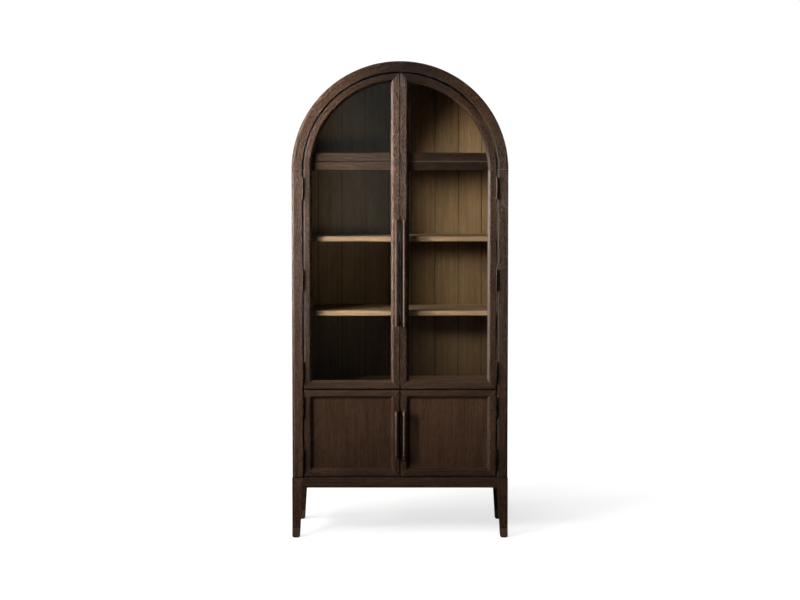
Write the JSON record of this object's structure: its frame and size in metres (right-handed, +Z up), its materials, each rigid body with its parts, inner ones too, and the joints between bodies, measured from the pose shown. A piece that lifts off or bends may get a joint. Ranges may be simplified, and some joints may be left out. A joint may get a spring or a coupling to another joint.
{
  "type": "arched display cabinet",
  "caption": "Tall arched oak china cabinet with a pair of glazed doors over a pair of panelled doors, inner shelves, bar pulls and tapered metal-capped legs.",
  "frame": {"origin": "on the floor, at the middle of the overall width and depth", "axes": "+Z up, the doors face -Y, +X to the right as seen from the front"},
  "size_m": [1.104, 0.518, 2.43],
  "materials": {
    "dark_oak": "wire-brushed oak, dark brown stain, matt lacquer",
    "natural_oak": "natural light oak, matt lacquer",
    "clear_glass": "clear polished float glass",
    "copper_bronze": "antique copper bronze, satin",
    "ferrule_bronze": "dark antique bronze, satin",
    "hinge_bronze": "aged bronze, satin",
    "nickel": "nickel-plated steel, satin",
    "catch_plastic": "dark brown matt plastic"
  },
  "bodies": {
    "case": {"apron_back": "dark_oak", "apron_front": "dark_oak", "apron_left": "dark_oak", "apron_right": "dark_oak", "back_batten": "natural_oak", "back_boards": "natural_oak", "case_bottom": "natural_oak", "cross_board_lower": "dark_oak", "cross_board_upper": "dark_oak", "cupboard_shelf": "natural_oak", "door_catches": "catch_plastic", "face_arch_left": "dark_oak", "face_arch_right": "dark_oak", "face_stile_left": "dark_oak", "face_stile_right": "dark_oak", "hinge_frame_leaves": "hinge_bronze", "hinge_pins": "hinge_bronze", "leg_back_left": "dark_oak", "leg_back_right": "dark_oak", "leg_ferrules": "ferrule_bronze", "leg_front_left": "dark_oak", "leg_front_right": "dark_oak", "middle_deck": "natural_oak", "roof_arch_left": "dark_oak", "roof_arch_right": "dark_oak", "shelf_lower": "natural_oak", "shelf_pins": "nickel", "shelf_upper": "natural_oak", "side_panel_left": "dark_oak", "side_panel_right": "dark_oak"},
    "upper_left_door": {"upper_left_arch_rail": "dark_oak", "upper_left_bottom_rail": "dark_oak", "upper_left_glass": "clear_glass", "upper_left_glass_bead": "dark_oak", "upper_left_hinge_leaves": "hinge_bronze", "upper_left_hinge_stile": "dark_oak", "upper_left_meeting_stile": "dark_oak", "upper_left_pull": "copper_bronze"},
    "upper_right_door": {"upper_right_arch_rail": "dark_oak", "upper_right_bottom_rail": "dark_oak", "upper_right_glass": "clear_glass", "upper_right_glass_bead": "dark_oak", "upper_right_hinge_leaves": "hinge_bronze", "upper_right_hinge_stile": "dark_oak", "upper_right_meeting_stile": "dark_oak", "upper_right_pull": "copper_bronze"},
    "lower_left_door": {"lower_left_bottom_rail": "dark_oak", "lower_left_hinge_leaves": "hinge_bronze", "lower_left_hinge_stile": "dark_oak", "lower_left_meeting_stile": "dark_oak", "lower_left_panel": "dark_oak", "lower_left_pull": "copper_bronze", "lower_left_top_rail": "dark_oak"},
    "lower_right_door": {"lower_right_bottom_rail": "dark_oak", "lower_right_hinge_leaves": "hinge_bronze", "lower_right_hinge_stile": "dark_oak", "lower_right_meeting_stile": "dark_oak", "lower_right_panel": "dark_oak", "lower_right_pull": "copper_bronze", "lower_right_top_rail": "dark_oak"}
  },
  "joints": [
    {"name": "upper_left_door_hinge", "type": "hinge", "parent": "case", "child": "upper_left_door", "pos_m": [-0.4919, -0.226, 1.32], "axis": [0, 0, -1], "range_deg": [0, 165]},
    {"name": "upper_right_door_hinge", "type": "hinge", "parent": "case", "child": "upper_right_door", "pos_m": [0.4919, -0.226, 1.32], "axis": [0, 0, 1], "range_deg": [0, 165]},
    {"name": "lower_left_door_hinge", "type": "hinge", "parent": "case", "child": "lower_left_door", "pos_m": [-0.4919, -0.226, 0.537], "axis": [0, 0, -1], "range_deg": [0, 165]},
    {"name": "lower_right_door_hinge", "type": "hinge", "parent": "case", "child": "lower_right_door", "pos_m": [0.4919, -0.226, 0.537], "axis": [0, 0, 1], "range_deg": [0, 165]}
  ]
}
